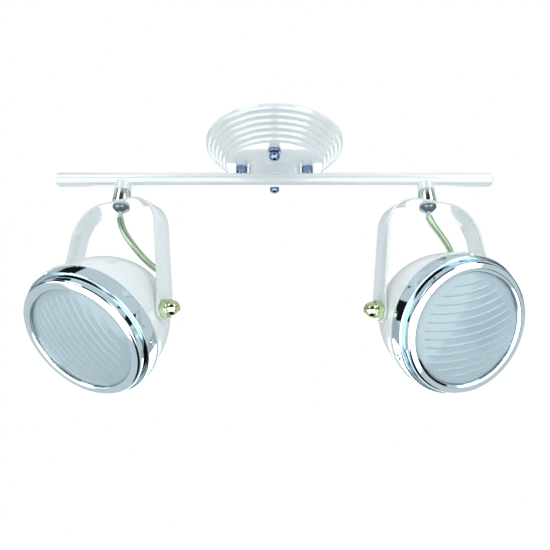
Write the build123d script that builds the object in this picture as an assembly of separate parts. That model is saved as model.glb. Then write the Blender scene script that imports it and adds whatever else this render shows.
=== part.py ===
from build123d import *
from math import asin, atan2, cos, degrees, hypot, pi, radians, sin, sqrt, tan
import os

# Ceiling or wall spotlight: a stepped rose, a bar under it, and two round lamp heads.
# Each head hangs in a bent strap (its yoke), which swivels under the bar; the head tilts in the yoke.
# Millimetres. Origin: centre of the rose's mounting face. +Z is up and away from the lamp, so the
# whole lamp lies below z = 0. X runs along the bar. The heads look towards -Y and down.

# ---------------------------------------------------------------- rose
rose_radius = 70.0
rose_height = 25.7
rose_face_radius = 46.7
rose_wall = 1.2
rose_steps = 6
rose_step_bulge = 0.55
rose_rim_height = 2.4

plate_radius = 60.0
plate_thickness = 1.5
plate_cable_hole_radius = 10.0
slot_spacing = 96.0
slot_length = 14.0
slot_width = 5.0

stud_circle_radius = 33.8
stud_radius = 2.0
stud_flange_radius = 4.0
stud_flange_thickness = 1.0
stud_count = 2
ball_radius = 5.2
ball_collar_radius = 5.9
ball_collar_height = 3.0
ball_neck_radius = 3.8
ball_thread_depth = 5.0

terminal_size = (26.0, 16.0, 10.0)
terminal_place = (21.0, 19.0)
terminal_poles = 3
terminal_wall = 1.0
terminal_screw_radius = 1.9
terminal_bore_radius = 2.2
terminal_base_height = 1.6
terminal_screw_sink = 1.0
terminal_slot = (0.6, 0.5)
earth_screw_place = (-24.0, 22.0)
earth_screw_radius = 2.0
earth_head_radius = 4.0
earth_head_height = 2.2
earth_slot = (0.9, 0.9)

# ---------------------------------------------------------------- bar
bar_radius = 7.0
bar_wall = 1.0
bar_length = 435.0
bar_drop = 39.0
end_cap_rim = 0.4
end_cap_dome = 2.1
end_cap_plug = 8.0
saddle_length = 52.0
saddle_width = 15.0
saddle_wrap = 3.6
insert_length = 84.0
insert_flat_drop = 1.5
standoff_spacing = 66.8
standoff_radius = 5.9
standoff_wrap = 2.0
bar_screw_radius = 2.0
bar_screw_head_flats = 7.0
bar_screw_head_height = 2.8
bushing_radius = 4.0
bushing_bore_radius = 3.0
bushing_flange_radius = 6.5
bushing_flange_height = 1.4

# ---------------------------------------------------------------- swivels
stem_inset = 65.2
boss_radius = 8.0
boss_drop = 5.6
boss_edge = 1.2
sleeve_top_radius = 7.8
sleeve_bottom_radius = 9.2
sleeve_edge = 0.6
sleeve_length = 14.0
nipple_radius = 5.0
nipple_bore_radius = 3.4
nipple_reach_into_bar = 4.0
washer_radius = 8.6
washer_thickness = 0.5
cap_nut_radius = 8.2
cap_nut_rim = 1.6
cap_nut_dome = 4.4
cap_nut_thread_run_out = 1.0
cap_nut_hole_radius = 3.0
lead_core_radius = 2.4

# ---------------------------------------------------------------- yokes
strap_width = 20.0
strap_thickness = 2.0
strap_bend_radius = 34.6
strap_lean = 13.5
ear_height = 14.0
ear_bend_radius = 12.0
yoke_drop = 110.7

# ---------------------------------------------------------------- heads: stations along the lamp's axis
# count forwards from the pivot line
bowl_radius = 60.8
bowl_length = 73.0
bowl_widest = 20.0
bowl_wall = 1.2
lip_width = 6.1
lip_back = 19.4
lip_thickness = 1.7
lip_overhang = 0.9
neck_length = 10.4
band_length = 11.6
bezel_wall = 0.9
bezel_front = 43.2
shoulder_drop = 3.2
shoulder_length = 3.4
shoulder_crown = 1.75
shoulder_ease = 0.55
groove_depth = 0.6
groove_length = 0.8
roll_inset = 10.0
roll_fullness = 2.1
roll_slope = 2.2
front_lip_width = 6.5
front_lip_sink = 1.1
front_lip_crown = 0.25
lens_margin = 5.5
lens_skirt_wall = 4.0
lens_face_wall = 3.2
lens_dome = 4.2
lens_play = 0.4
lens_rib_margin = 3.5
lens_rib_count = 12
lens_rib_pitch = 7.3
lens_rib_width = 3.2
lens_rib_height = 0.7
lens_rib_bow_radius = 165.0
gasket_thickness = 1.0
retainer_thickness = 0.9
retainer_margin = 0.5
bezel_screw_count = 3
bezel_screw_radius = 1.5
bezel_screw_head_radius = 2.6
bezel_screw_head_height = 1.3
bezel_screw_station = 27.0
bezel_screw_length = 5.5
bezel_screw_head_ease = 0.5
bezel_screw_recess = (2.8, 0.5, 0.6)

pivot_bolt_radius = 5.0
pivot_bolt_head_flats = 15.0
pivot_bolt_head_height = 5.0
pivot_collar_radius = 8.4
pivot_collar_length = 2.03
acorn_flats = 16.0
acorn_hex_height = 6.6
acorn_height = 14.8
acorn_dome_radius = 7.1
acorn_base_chamfer = (0.9, 0.8)
acorn_top_chamfer = 1.6
bolt_end_gap = 3.6

bracket_width = 13.0
bracket_thickness = 1.2
bracket_side_gap = 5.9
bracket_back = 33.0
bracket_back_half_width = 30.0
bracket_bend_radius = 3.0
bracket_front = 7.0
bracket_slant_start = 9.0
holder_radius = 13.5
holder_length = 26.0
holder_foot = 3.0
holder_cap_radius = 15.5
holder_cap_length = 8.0
holder_screw_spacing = 18.0
holder_screw_radius = 1.5
holder_screw_head_radius = 2.8
holder_screw_head_height = 1.8
holder_screw_depth = 5.0
bulb_neck_radius = 10.5
bulb_neck_length = 14.0
bulb_radius = 24.0
bulb_front = 27.0
bulb_front_dome = 6.0
bulb_flare = 0.72

gland_offset = 24.0
gland_radius = 6.0
gland_neck_radius = 4.9
gland_height = 6.0
gland_inside = 2.0
gland_seat_sag = 0.5
gland_cable_depth = 4.0
gland_shoulder = 2.4
gland_mouth_wall = 1.2

cable_radius = 3.15

# ---------------------------------------------------------------- clearances
pivot_clearance = 0.05
seat_gap = 0.02
swivel_gap = 0.12
ear_gap = 0.15
hole_clearance = 0.1

# ---------------------------------------------------------------- widths that follow from the sizes above
stem_spacing = bar_length - 2 * stem_inset
bowl_half_at_pivot = bowl_radius * sqrt(1 - (bowl_widest / bowl_length)**2)
strap_inner_half_width = bowl_half_at_pivot + pivot_collar_length
strap_half_width = strap_inner_half_width + strap_thickness / 2
strap_outer_half_width = strap_inner_half_width + strap_thickness
strap_corner_half_width = strap_half_width - strap_lean
lip_radius = bowl_radius + lip_width
band_radius = lip_radius - lip_overhang
neck_radius = band_radius - bezel_wall - hole_clearance
roll_radius = band_radius - shoulder_drop
roll_crest_radius = band_radius - roll_inset
lens_window_radius = roll_crest_radius - front_lip_width
lens_radius = lens_window_radius + lens_margin
retainer_inner_radius = lens_window_radius + retainer_margin
bracket_half_width = bowl_half_at_pivot - bracket_side_gap

# ---------------------------------------------------------------- the two heads as they stand
# turn: swivel about the stem, seen from above; dip: the lamp's axis below the horizontal;
# lens_turn and screw_turn: how the lens and the bezel happen to sit round the lamp's axis.
# route: the lead's corners after its first point, in the yoke's own frame: across (towards the lamp's
# right arm), back, and height. The lead's last straight runs square into its gland.
heads = {
    "left": {
        "place": -stem_spacing / 2,
        "turn": -25.4,
        "dip": 42.0,
        "lens_turn": -64.0,
        "screw_turn": 9.5,
        "lead_start": -81.0,
        "route": [(2.5, 1.0, -92.0), (10.0, 8.0, -106.5), (17.0, 19.0, -119.5), (23.0, 31.0, -128.0),
                  (28.5, 40.5, -132.0)],
        "gland_run": 4.0,
    },
    "right": {
        "place": stem_spacing / 2,
        "turn": 18.8,
        "dip": 27.5,
        "lens_turn": 22.0,
        "screw_turn": 150.5,
        "lead_start": -79.0,
        "route": [(4.0, 1.0, -86.5), (17.0, 5.0, -96.0), (31.0, 10.0, -108.0), (40.0, 22.0, -121.0),
                  (41.0, 38.0, -133.0), (35.0, 51.0, -141.0)],
        "gland_run": 6.0,
    },
}

# ---------------------------------------------------------------- worked-out levels
bar_top = bar_radius - bar_drop
bar_bore = bar_radius - bar_wall
boss_bottom = -bar_drop - bar_radius - boss_drop
sleeve_bottom = boss_bottom - sleeve_length
strap_top = sleeve_bottom - swivel_gap - washer_thickness
strap_bottom = strap_top - strap_thickness
cap_nut_top = strap_bottom - washer_thickness - swivel_gap
cap_nut_bottom = cap_nut_top - cap_nut_rim - cap_nut_dome
pivot_height = strap_top - strap_thickness / 2 - yoke_drop
face_top = rose_wall - rose_height
lip_front = lip_back + lip_thickness
neck_end = lip_front + neck_length
band_start = lip_front + seat_gap
band_end = band_start + band_length
roll_start = band_end + shoulder_length
lens_front = bezel_front - bezel_wall - gasket_thickness - 3 * seat_gap - front_lip_sink
skirt_back = neck_end + retainer_thickness + 2 * seat_gap
holder_back = -bracket_back + bracket_thickness / 2


# ---------------------------------------------------------------- helpers
def tube(outer, inner, low, high):
    ring = Circle(outer) - Circle(inner)
    return Pos(0, 0, low) * extrude(ring, high - low)


def rod(radius, low, high):
    return Pos(0, 0, low) * extrude(Circle(radius), high - low)


def hexagon(flats, low, high):
    outline = RegularPolygon(radius=flats / 2, side_count=6, major_radius=False)
    return Pos(0, 0, low) * extrude(outline, high - low)


def turned(*outline):
    """Turns a closed outline of (radius, height) points and curves about Z."""
    return revolve(Plane.XZ * make_face(outline), Axis.Z)


def cap_arc(radius, base, rise):
    """A dome's outline: part of a circle centred on the axis, from its rim in to its tip."""
    bow = (radius**2 + rise**2) / (2 * rise)
    half_way = (radius / 2, base + rise - bow + sqrt(bow**2 - radius**2 / 4))
    return ThreePointArc((radius, base), half_way, (0, base + rise))


def box_under(radius, low, high, tip):
    """The straight lines that close a dome's outline: down the axis, out and up its side."""
    return Line((0, tip), (0, low)), Line((0, low), (radius, low)), Line((radius, low), (radius, high))


def ring_of(count, radius, shape, first=0.0):
    return [Rot(0, 0, first + 360 * i / count) * Pos(radius, 0, 0) * shape for i in range(count)]


def lamp_axis(shape):
    """Lays a shape turned about Z along the lamp's axis: its +Z becomes forwards, -Y."""
    return Rot(90, 0, 0) * shape


def across(shape):
    """Lays a shape made along Z along the pivot line, X."""
    return Rot(0, 90, 0) * shape


def both_sides(shape):
    return [shape, mirror(shape, Plane.YZ)]


def save(name, *solids):
    flat = [solid for shape in solids for solid in (shape if isinstance(shape, list) else [shape])]
    node = flat[0] if len(flat) == 1 else Compound(children=[Solid(s.solid().wrapped) for s in flat])
    export_step(node, f"parts/{name}.step")


# ---------------------------------------------------------------- rose and what it hides
def rose_outline():
    """The spun steps from the rim in to the flat face: a shallow bulging arc for each step."""
    curves = [Line((rose_radius, 0), (rose_radius, -rose_rim_height))]
    fall = rose_height - rose_rim_height
    run = rose_radius - rose_face_radius
    for i in range(rose_steps):
        start = (rose_radius - run * i / rose_steps, -rose_rim_height - fall * i / rose_steps)
        end = (start[0] - run / rose_steps, start[1] - fall / rose_steps)
        slope = hypot(run, fall)
        middle = ((start[0] + end[0]) / 2 + rose_step_bulge * fall / slope * 2,
                  (start[1] + end[1]) / 2 - rose_step_bulge * run / slope * 2)
        curves.append(ThreePointArc(start, middle, end))
    return curves


def rose():
    edge = rose_outline()
    outside = turned(*edge, Line((rose_face_radius, -rose_height), (0, -rose_height)),
                     Line((0, -rose_height), (0, 0)), Line((0, 0), (rose_radius, 0)))
    inner_edge = [Pos(-rose_wall, rose_wall) * curve for curve in edge]
    inner_face = (rose_face_radius - rose_wall, face_top)
    inner_rim = (rose_radius - rose_wall, rose_wall)
    inside = turned(*inner_edge, Line(inner_face, (0, face_top)), Line((0, face_top), (0, rose_wall)),
                    Line((0, rose_wall), inner_rim))
    shell = outside - inside
    holes = studs_at(rod(stud_radius + hole_clearance, -rose_height - 1, 0))
    holes += bar_screws_at(rod(bar_screw_radius + hole_clearance, -rose_height - 1, 0))
    holes.append(rod(bushing_radius + hole_clearance, -rose_height - 1, 0))
    return shell - holes


def bar_screws_at(shape):
    return [Pos(side * standoff_spacing / 2, 0, 0) * shape for side in (-1, 1)]


def studs_at(shape):
    return ring_of(stud_count, stud_circle_radius, shape, first=90)


def mounting_plate():
    plate = rod(plate_radius, -plate_thickness, 0) - rod(plate_cable_hole_radius, -plate_thickness, 0)
    slot = extrude(SlotOverall(slot_length, slot_width), -plate_thickness)
    slots = [Pos(side * slot_spacing / 2, 0, 0) * slot for side in (-1, 1)]
    earth = Pos(*earth_screw_place, 0) * rod(earth_screw_radius, -plate_thickness, 0)
    return plate - slots - earth


def studs():
    end = -rose_height - ball_collar_height - ball_thread_depth
    flange_bottom = -plate_thickness - stud_flange_thickness
    stud = rod(stud_radius, end, -plate_thickness) + rod(stud_flange_radius, flange_bottom, -plate_thickness)
    return studs_at(stud)


def ball_nuts():
    """A collar on the rose with a ball under it, threaded blind for the stud."""
    collar_bottom = -rose_height - ball_collar_height
    centre = collar_bottom - sqrt(ball_radius**2 - ball_neck_radius**2)
    collar = rod(ball_collar_radius, collar_bottom, -rose_height)
    collar = fillet(collar.edges().sort_by(Axis.Z)[0], ball_collar_height / 5)
    nut = Pos(0, 0, centre) * Sphere(ball_radius) + collar
    nut -= rod(stud_radius + seat_gap, collar_bottom - ball_thread_depth - seat_gap, 0)
    return studs_at(nut)


def terminal_block():
    length, width, height = terminal_size
    top = -plate_thickness
    block = Box(length, width, terminal_base_height, align=(Align.CENTER, Align.CENTER, Align.MAX))
    pitch = length / terminal_poles
    for i in range(terminal_poles):
        middle = pitch * (i + 0.5) - length / 2
        pole = Box(pitch - terminal_wall, width, height, align=(Align.CENTER, Align.CENTER, Align.MAX))
        pole -= Pos(0, 0, -height / 2) * Rot(90, 0, 0) * Cylinder(terminal_bore_radius, width)
        well = rod(terminal_screw_radius, -height, -height / 2)
        block += Pos(middle, 0, 0) * pole
        block -= [Pos(middle, side * width / 4, 0) * well for side in (-1, 1)]
    return Pos(*terminal_place, top) * block


def terminal_screws():
    length, width, height = terminal_size
    pitch = length / terminal_poles
    slot_width, slot_depth = terminal_slot
    screw = rod(terminal_screw_radius - seat_gap, terminal_screw_sink - height, -height / 2)
    slot = Box(2 * terminal_screw_radius, slot_width, 2 * slot_depth)
    screw -= Pos(0, 0, terminal_screw_sink - height) * slot
    places = [(pitch * (i + 0.5) - length / 2, side * width / 4)
              for i in range(terminal_poles) for side in (-1, 1)]
    return [Pos(terminal_place[0] + x, terminal_place[1] + y, -plate_thickness) * screw for x, y in places]


def earth_screw():
    head_top = -plate_thickness
    head_bottom = head_top - earth_head_height
    screw = rod(earth_screw_radius - seat_gap, head_top, 0)
    screw += rod(earth_head_radius, head_bottom, head_top)
    slot_width, slot_depth = earth_slot
    screw -= Pos(0, 0, head_bottom) * Box(2 * earth_head_radius, slot_width, 2 * slot_depth)
    return Pos(*earth_screw_place, 0) * screw


# ---------------------------------------------------------------- bar
def along_bar(shape):
    return Pos(0, 0, -bar_drop) * Rot(0, 90, 0) * shape


def bar_tube():
    half = bar_length / 2
    tube_shape = along_bar(tube(bar_radius, bar_bore, -half, half))
    top_holes = bar_screws_at(rod(bar_screw_radius + hole_clearance, -bar_drop, 0))
    top_holes.append(rod(bushing_radius + hole_clearance, -bar_drop, 0))
    nipple_hole = rod(nipple_radius + seat_gap, -bar_drop - 2 * bar_radius, -bar_drop)
    stems = [Pos(head["place"], 0, 0) * nipple_hole for head in heads.values()]
    return tube_shape - top_holes - stems


def end_caps():
    half = bar_length / 2
    rim = half + end_cap_rim
    dome = turned(cap_arc(bar_radius, rim, end_cap_dome),
                  *box_under(bar_radius, half, rim, rim + end_cap_dome))
    cap = along_bar(dome + rod(bar_bore - seat_gap, half - end_cap_plug, half))
    return both_sides(cap)


def saddle():
    height = bar_drop - rose_height - bar_radius + saddle_wrap
    block = Pos(0, 0, -rose_height) * extrude(SlotOverall(saddle_length, saddle_width), -height)
    block -= along_bar(rod(bar_radius + seat_gap, -saddle_length, saddle_length))
    return block - rod(bushing_radius + hole_clearance, -bar_drop, 0)


def standoffs():
    post = rod(standoff_radius, bar_top - standoff_wrap, -rose_height)
    post -= along_bar(rod(bar_radius + seat_gap, -standoff_radius * 2, standoff_radius * 2))
    return bar_screws_at(post - rod(bar_screw_radius + hole_clearance, -bar_drop, 0))


def bar_insert():
    core = along_bar(rod(bar_bore - seat_gap, -insert_length / 2, insert_length / 2))
    room = Box(2 * insert_length, 4 * bar_radius, 2 * bar_radius,
               align=(Align.CENTER, Align.CENTER, Align.MIN))
    core &= Pos(0, 0, -bar_drop - insert_flat_drop) * room
    core -= bar_screws_at(rod(bar_screw_radius + seat_gap, -2 * bar_drop, 0))
    return core - rod(bushing_radius + hole_clearance, -2 * bar_drop, 0)


def bar_screws():
    """They come down from inside the rose, through the standoffs, into the insert in the bar."""
    screw = rod(bar_screw_radius, -bar_drop - insert_flat_drop, face_top)
    screw += hexagon(bar_screw_head_flats, face_top, face_top + bar_screw_head_height)
    return bar_screws_at(screw)


def wire_bushing():
    bushing = tube(bushing_radius, bushing_bore_radius, -bar_drop, face_top)
    flange_top = face_top + bushing_flange_height
    return bushing + tube(bushing_flange_radius, bushing_bore_radius, face_top, flange_top)


# ---------------------------------------------------------------- swivels, built about their own axis
def bar_boss():
    boss = fillet(rod(boss_radius, boss_bottom, -bar_drop).edges().sort_by(Axis.Z)[0], boss_edge)
    boss -= along_bar(rod(bar_radius + seat_gap, -3 * bar_radius, 3 * bar_radius))
    boss = boss.solids().sort_by(Axis.Z)[0]
    return boss - rod(nipple_radius + seat_gap, -2 * bar_drop, 0)


def stem_sleeve():
    bore = nipple_radius + seat_gap
    return turned(Polyline((bore, boss_bottom), (sleeve_top_radius - sleeve_edge, boss_bottom),
                           (sleeve_top_radius, boss_bottom - sleeve_edge),
                           (sleeve_bottom_radius, sleeve_bottom + sleeve_edge),
                           (sleeve_bottom_radius - sleeve_edge, sleeve_bottom),
                           (bore, sleeve_bottom), close=True))


def swivel_nipple():
    top = -bar_drop - bar_radius + nipple_reach_into_bar
    return tube(nipple_radius, nipple_bore_radius, cap_nut_top - cap_nut_rim - cap_nut_thread_run_out, top)


def cap_nut():
    """The domed nut that carries the yoke: blind for the nipple, with a hole for the lead."""
    rim_bottom = cap_nut_rim - cap_nut_top
    thread_end = cap_nut_top - cap_nut_rim - cap_nut_thread_run_out
    dome = turned(cap_arc(cap_nut_radius, rim_bottom, cap_nut_dome),
                  *box_under(cap_nut_radius, -cap_nut_top, rim_bottom, rim_bottom + cap_nut_dome))
    dome = mirror(dome, Plane.XY)
    dome -= rod(nipple_radius + seat_gap, thread_end - seat_gap, cap_nut_top)
    return dome - rod(cap_nut_hole_radius, cap_nut_bottom, cap_nut_top)


def swivel_washers():
    bore = nipple_radius + pivot_clearance
    upper = tube(washer_radius, bore, strap_top, strap_top + washer_thickness)
    lower_radius = min(washer_radius, cap_nut_radius)
    lower = tube(lower_radius, bore, strap_bottom - washer_thickness, strap_bottom)
    return [upper, lower]


def yoke():
    """One strap bent over the top, flared down to two parallel ears."""
    ear_top = pivot_height + ear_height
    ear_end = pivot_height - strap_width / 2
    middle = strap_top - strap_thickness / 2
    right = [(strap_half_width, ear_end), (strap_half_width, ear_top), (strap_corner_half_width, middle)]
    left = [(-x, z) for x, z in reversed(right)]
    radii = [ear_bend_radius, strap_bend_radius, strap_bend_radius, ear_bend_radius]
    path = FilletPolyline(*right, *left, radius=radii)
    strap = extrude(Plane.XZ * trace(path, strap_thickness), strap_width / 2, both=True)
    straight = Rectangle(strap_width, yoke_drop * 2, align=(Align.CENTER, Align.MIN))
    outline = Pos(0, pivot_height) * (Circle(strap_width / 2) + straight)
    strap &= extrude(Plane.YZ * outline, 2 * strap_half_width, both=True)
    strap -= rod(nipple_radius + pivot_clearance, strap_bottom - 1, strap_top + 1)
    return strap - at_pivot(across(rod(pivot_bolt_radius + pivot_clearance, -100, 100)))


def at_pivot(shape):
    return Pos(0, 0, pivot_height) * shape


# ---------------------------------------------------------------- heads, about the pivot, looking along -Y
def bowl_form(shrink, front):
    """A solid half of the bowl's egg shape, smaller all over by shrink, cut off at a station."""
    wide, deep = bowl_radius - shrink, bowl_length - shrink
    start = degrees(asin((bowl_widest - front) / deep))
    arc = EllipticalCenterArc((0, bowl_widest), wide, deep, start_angle=-start, arc_size=start - 90)
    begin, pole = arc @ 0, arc @ 1
    return lamp_axis(turned(arc, Line((pole.X, pole.Y), (0, front)), Line((0, front), (begin.X, begin.Y))))


def bowl(screw_turn):
    shell = bowl_form(0, lip_back)
    lip = fillet(rod(lip_radius, lip_back, lip_front).edges(), lip_thickness * 0.4)
    shell += lamp_axis(lip + rod(neck_radius, lip_front, neck_end))
    shell -= bowl_form(bowl_wall, lip_back)
    shell -= lamp_axis(rod(bowl_radius - bowl_wall, lip_back, lip_front))
    shell -= lamp_axis(rod(neck_radius - bowl_wall, lip_front, neck_end))
    shell -= across(rod(pivot_bolt_radius + hole_clearance, -bowl_radius, bowl_radius))
    shell -= gland_place() * rod(gland_neck_radius + seat_gap, -2 * gland_inside, gland_height)
    holes = bezel_screw_holes(bezel_screw_radius + seat_gap)
    return shell - [Rot(0, -screw_turn, 0) * hole for hole in holes]


def gland_place():
    """The gland's seat on the back of the bowl, off the axis towards +X and square to the shell there."""
    station = bowl_widest - bowl_length * sqrt(1 - (gland_offset / bowl_radius)**2)
    lean = degrees(atan2(gland_offset / bowl_radius**2, (bowl_widest - station) / bowl_length**2))
    return Pos(gland_offset, -station, 0) * Rot(-90, 0, 0) * Rot(0, lean, 0)


def bezel_screw_holes(radius):
    hole = Pos(0, 0, bezel_screw_station) * across(rod(radius, 0, 2 * band_radius))
    return [lamp_axis(Rot(0, 0, 360 * i / bezel_screw_count) * hole) for i in range(bezel_screw_count)]


def bezel():
    """The spun ring: plain band, rounded shoulder, and the front roll that turns in over the lens."""
    shoulder = (roll_radius + groove_depth, roll_start - groove_length)
    shoulder_top = (band_radius - shoulder_ease, band_end + shoulder_crown)
    roll_side = (roll_radius - roll_fullness, bezel_front - roll_slope)
    roll_crest = (roll_crest_radius, bezel_front)
    lip = (lens_window_radius + lens_play, bezel_front - front_lip_sink)
    lip_middle = ((roll_crest_radius + lip[0]) / 2, bezel_front - front_lip_crown)
    edge = [
        Line((band_radius, band_start), (band_radius, band_end)),
        ThreePointArc((band_radius, band_end), shoulder_top, shoulder),
        Line(shoulder, (roll_radius, roll_start)),
        ThreePointArc((roll_radius, roll_start), roll_side, roll_crest),
        ThreePointArc(roll_crest, lip_middle, lip),
    ]
    end = (lip[0] - bezel_wall, lip[1] - bezel_wall)
    inner = [Pos(-bezel_wall, -bezel_wall) * curve for curve in edge]
    rim = (band_radius - bezel_wall, band_start - bezel_wall)
    ring = turned(*edge, Line(lip, end), *inner, Line(rim, (band_radius, band_start)))
    ring -= rod(2 * band_radius, band_start - 2 * bezel_wall, band_start)
    ring = lamp_axis(ring) - bezel_screw_holes(bezel_screw_radius + hole_clearance)
    return ring - bezel_screw_heads(hole_clearance)


def bezel_screw_seat():
    """How far out the screw heads sit: a hair below the highest point of the band under them."""
    return sqrt(band_radius**2 - bezel_screw_head_radius**2) - seat_gap / 2


def bezel_screw_heads(grow):
    """The flat seats that the screw heads need in the round band."""
    head = across(rod(bezel_screw_head_radius + grow, bezel_screw_seat(), 2 * band_radius))
    head = Pos(0, 0, bezel_screw_station) * head
    return [lamp_axis(Rot(0, 0, 360 * i / bezel_screw_count) * head) for i in range(bezel_screw_count)]


def bezel_screws():
    seat = bezel_screw_seat()
    top = seat + bezel_screw_head_height
    length, width, depth = bezel_screw_recess
    head = rod(bezel_screw_head_radius, seat, top)
    head = fillet(head.edges().sort_by(Axis.Z)[-1], bezel_screw_head_ease)
    screw = head + rod(bezel_screw_radius, seat - bezel_screw_length, seat)
    for angle in (0, 90):
        screw -= Pos(0, 0, top) * Rot(0, 0, angle) * Box(length, width, 2 * depth)
    screw = Pos(0, 0, bezel_screw_station) * across(screw)
    return [lamp_axis(Rot(0, 0, 360 * i / bezel_screw_count) * screw) for i in range(bezel_screw_count)]


def lens_cap(lift, low):
    """The domed front of the lens as a solid down to a level, raised by lift."""
    edge = lens_window_radius - lens_play
    base = lens_front + lift
    return turned(cap_arc(edge, base, lens_dome), *box_under(edge, low, base, base + lens_dome))


def lens():
    """Pressed glass: a skirt, a shallow dome, and bowed ribs that follow the dome."""
    dish = rod(lens_radius, skirt_back, lens_front) + lens_cap(0, skirt_back)
    hollow = Pos(0, 0, -lens_face_wall) * lens_cap(0, skirt_back - 1)
    hollow &= rod(lens_radius - lens_skirt_wall, 0, 2 * lens_front)
    skirt_room = rod(lens_radius - lens_skirt_wall, skirt_back, lens_front - lens_face_wall)
    ribs = []
    for i in range(lens_rib_count):
        inner = lens_rib_bow_radius + lens_rib_pitch * (i - (lens_rib_count - 1) / 2) - lens_rib_width / 2
        rib = tube(inner + lens_rib_width, inner, lens_front, 2 * lens_front)
        ribs.append(Pos(0, -lens_rib_bow_radius, 0) * rib)
    raised = lens_cap(lens_rib_height, lens_front - 1)
    raised &= rod(lens_window_radius - lens_rib_margin, 0, 2 * lens_front)
    return lamp_axis(dish - hollow - skirt_room + [raised & rib for rib in ribs])


def gasket():
    front = lens_front + seat_gap + gasket_thickness
    return lamp_axis(tube(lens_radius, lens_window_radius + hole_clearance, lens_front + seat_gap, front))


def retaining_ring():
    start = neck_end + seat_gap
    return lamp_axis(tube(neck_radius, retainer_inner_radius, start, start + retainer_thickness))


def pivot_collars():
    """Shaped pads: one between bowl and ear, one inside between bowl and bracket, on each side."""
    bore = rod(pivot_bolt_radius + seat_gap, 0, 2 * bowl_radius)
    outside = across(rod(pivot_collar_radius, bowl_radius / 2, strap_inner_half_width - ear_gap) - bore)
    outside -= bowl_form(-seat_gap, lip_back)
    bracket_face = bracket_half_width + bracket_thickness / 2
    inside = across(rod(pivot_collar_radius, bracket_face, bowl_radius) - bore)
    inside &= bowl_form(bowl_wall + seat_gap, lip_back)
    return both_sides(outside) + both_sides(inside)


def pivot_bolts():
    seat = bracket_half_width - bracket_thickness / 2
    end = strap_outer_half_width + ear_gap + acorn_height - bolt_end_gap
    head = hexagon(pivot_bolt_head_flats, seat - pivot_bolt_head_height, seat)
    return both_sides(across(rod(pivot_bolt_radius, seat, end) + head))


def acorn_nuts():
    base = strap_outer_half_width + ear_gap
    hex_top = base + acorn_hex_height
    tip = base + acorn_height
    nut = hexagon(acorn_flats, base, hex_top)
    corner = acorn_flats / sqrt(3)
    chamfer_width, chamfer_height = acorn_base_chamfer
    nut &= turned(Polyline((0, base), (corner - chamfer_width, base), (corner, base + chamfer_height),
                           (corner, hex_top - acorn_top_chamfer), (acorn_dome_radius, hex_top),
                           (0, hex_top), close=True))
    straight = tip - acorn_dome_radius
    half_way = acorn_dome_radius * sin(radians(45))
    nut += turned(Line((0, base), (acorn_dome_radius, base)),
                  Line((acorn_dome_radius, base), (acorn_dome_radius, straight)),
                  ThreePointArc((acorn_dome_radius, straight), (half_way, straight + half_way), (0, tip)),
                  Line((0, tip), (0, base)))
    nut -= rod(pivot_bolt_radius + seat_gap, base, tip - bolt_end_gap + seat_gap)
    return both_sides(across(nut))


def lamp_bracket():
    """A strip from pivot bolt to pivot bolt, bent back behind the lampholder that it carries."""
    right = [(bracket_half_width, -bracket_front), (bracket_half_width, bracket_slant_start),
             (bracket_back_half_width, bracket_back)]
    left = [(-x, y) for x, y in reversed(right)]
    path = FilletPolyline(*right, *left, radius=bracket_bend_radius)
    strip = extrude(trace(path, bracket_thickness), bracket_width / 2, both=True)
    strip -= across(rod(pivot_bolt_radius + hole_clearance, -bowl_radius, bowl_radius))
    holes = holder_screws_at(rod(holder_screw_radius, -2 * bracket_back, 0))
    return strip - lamp_axis(Compound(children=holes))


def holder_screws_at(shape):
    return [Pos(side * holder_screw_spacing / 2, 0, 0) * shape for side in (-1, 1)]


def lampholder():
    mouth = holder_back + holder_length
    foot = rod(holder_cap_radius, holder_back, holder_back + holder_foot)
    body = rod(holder_radius, holder_back + holder_foot, mouth)
    collar = rod(holder_cap_radius, mouth - holder_cap_length, mouth)
    holder = foot + body + collar
    holder -= rod(bulb_neck_radius + seat_gap, mouth - bulb_neck_length, mouth)
    screw_hole = rod(holder_screw_radius, holder_back, holder_back + holder_screw_depth)
    return lamp_axis(holder - holder_screws_at(screw_hole))


def holder_screws():
    head_top = holder_back - bracket_thickness
    screw = rod(holder_screw_radius - seat_gap, head_top, holder_back + holder_screw_depth - seat_gap)
    screw += rod(holder_screw_head_radius, head_top - holder_screw_head_height, head_top)
    return [lamp_axis(s) for s in holder_screws_at(screw)]


def bulb():
    """A reflector lamp: screw cap, cone and a shallow round front."""
    mouth = holder_back + holder_length
    back = mouth - bulb_neck_length + seat_gap
    shoulder = bulb_front - bulb_front_dome
    middle = (bulb_radius * bulb_flare, (mouth + shoulder) / 2)
    outline = turned(Line((0, back), (bulb_neck_radius, back)),
                     Line((bulb_neck_radius, back), (bulb_neck_radius, mouth)),
                     ThreePointArc((bulb_neck_radius, mouth), middle, (bulb_radius, shoulder)),
                     cap_arc(bulb_radius, shoulder, bulb_front_dome), Line((0, bulb_front), (0, back)))
    return lamp_axis(outline)


def gland():
    """The grommet that the lead enters the bowl through: flange, neck in the shell, rounded nose."""
    mouth_radius = cable_radius + gland_mouth_wall
    bulge = (gland_radius * 0.86, gland_height * 0.78)
    nose = turned(Line((0, seat_gap), (gland_radius, seat_gap)),
                  Line((gland_radius, seat_gap), (gland_radius, gland_shoulder)),
                  ThreePointArc((gland_radius, gland_shoulder), bulge, (mouth_radius, gland_height)),
                  Line((mouth_radius, gland_height), (0, gland_height)),
                  Line((0, gland_height), (0, seat_gap)))
    flange_top = -bowl_wall - gland_seat_sag
    inner = rod(gland_radius, flange_top - gland_inside, flange_top) + rod(gland_neck_radius, flange_top, 1)
    whole = gland_place() * (nose + inner)
    whole -= gland_place() * rod(cable_radius + seat_gap, gland_height - gland_cable_depth, gland_height)
    return whole - gland_place() * rod(lead_core_radius, flange_top - 2 * gland_inside, gland_height)


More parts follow.
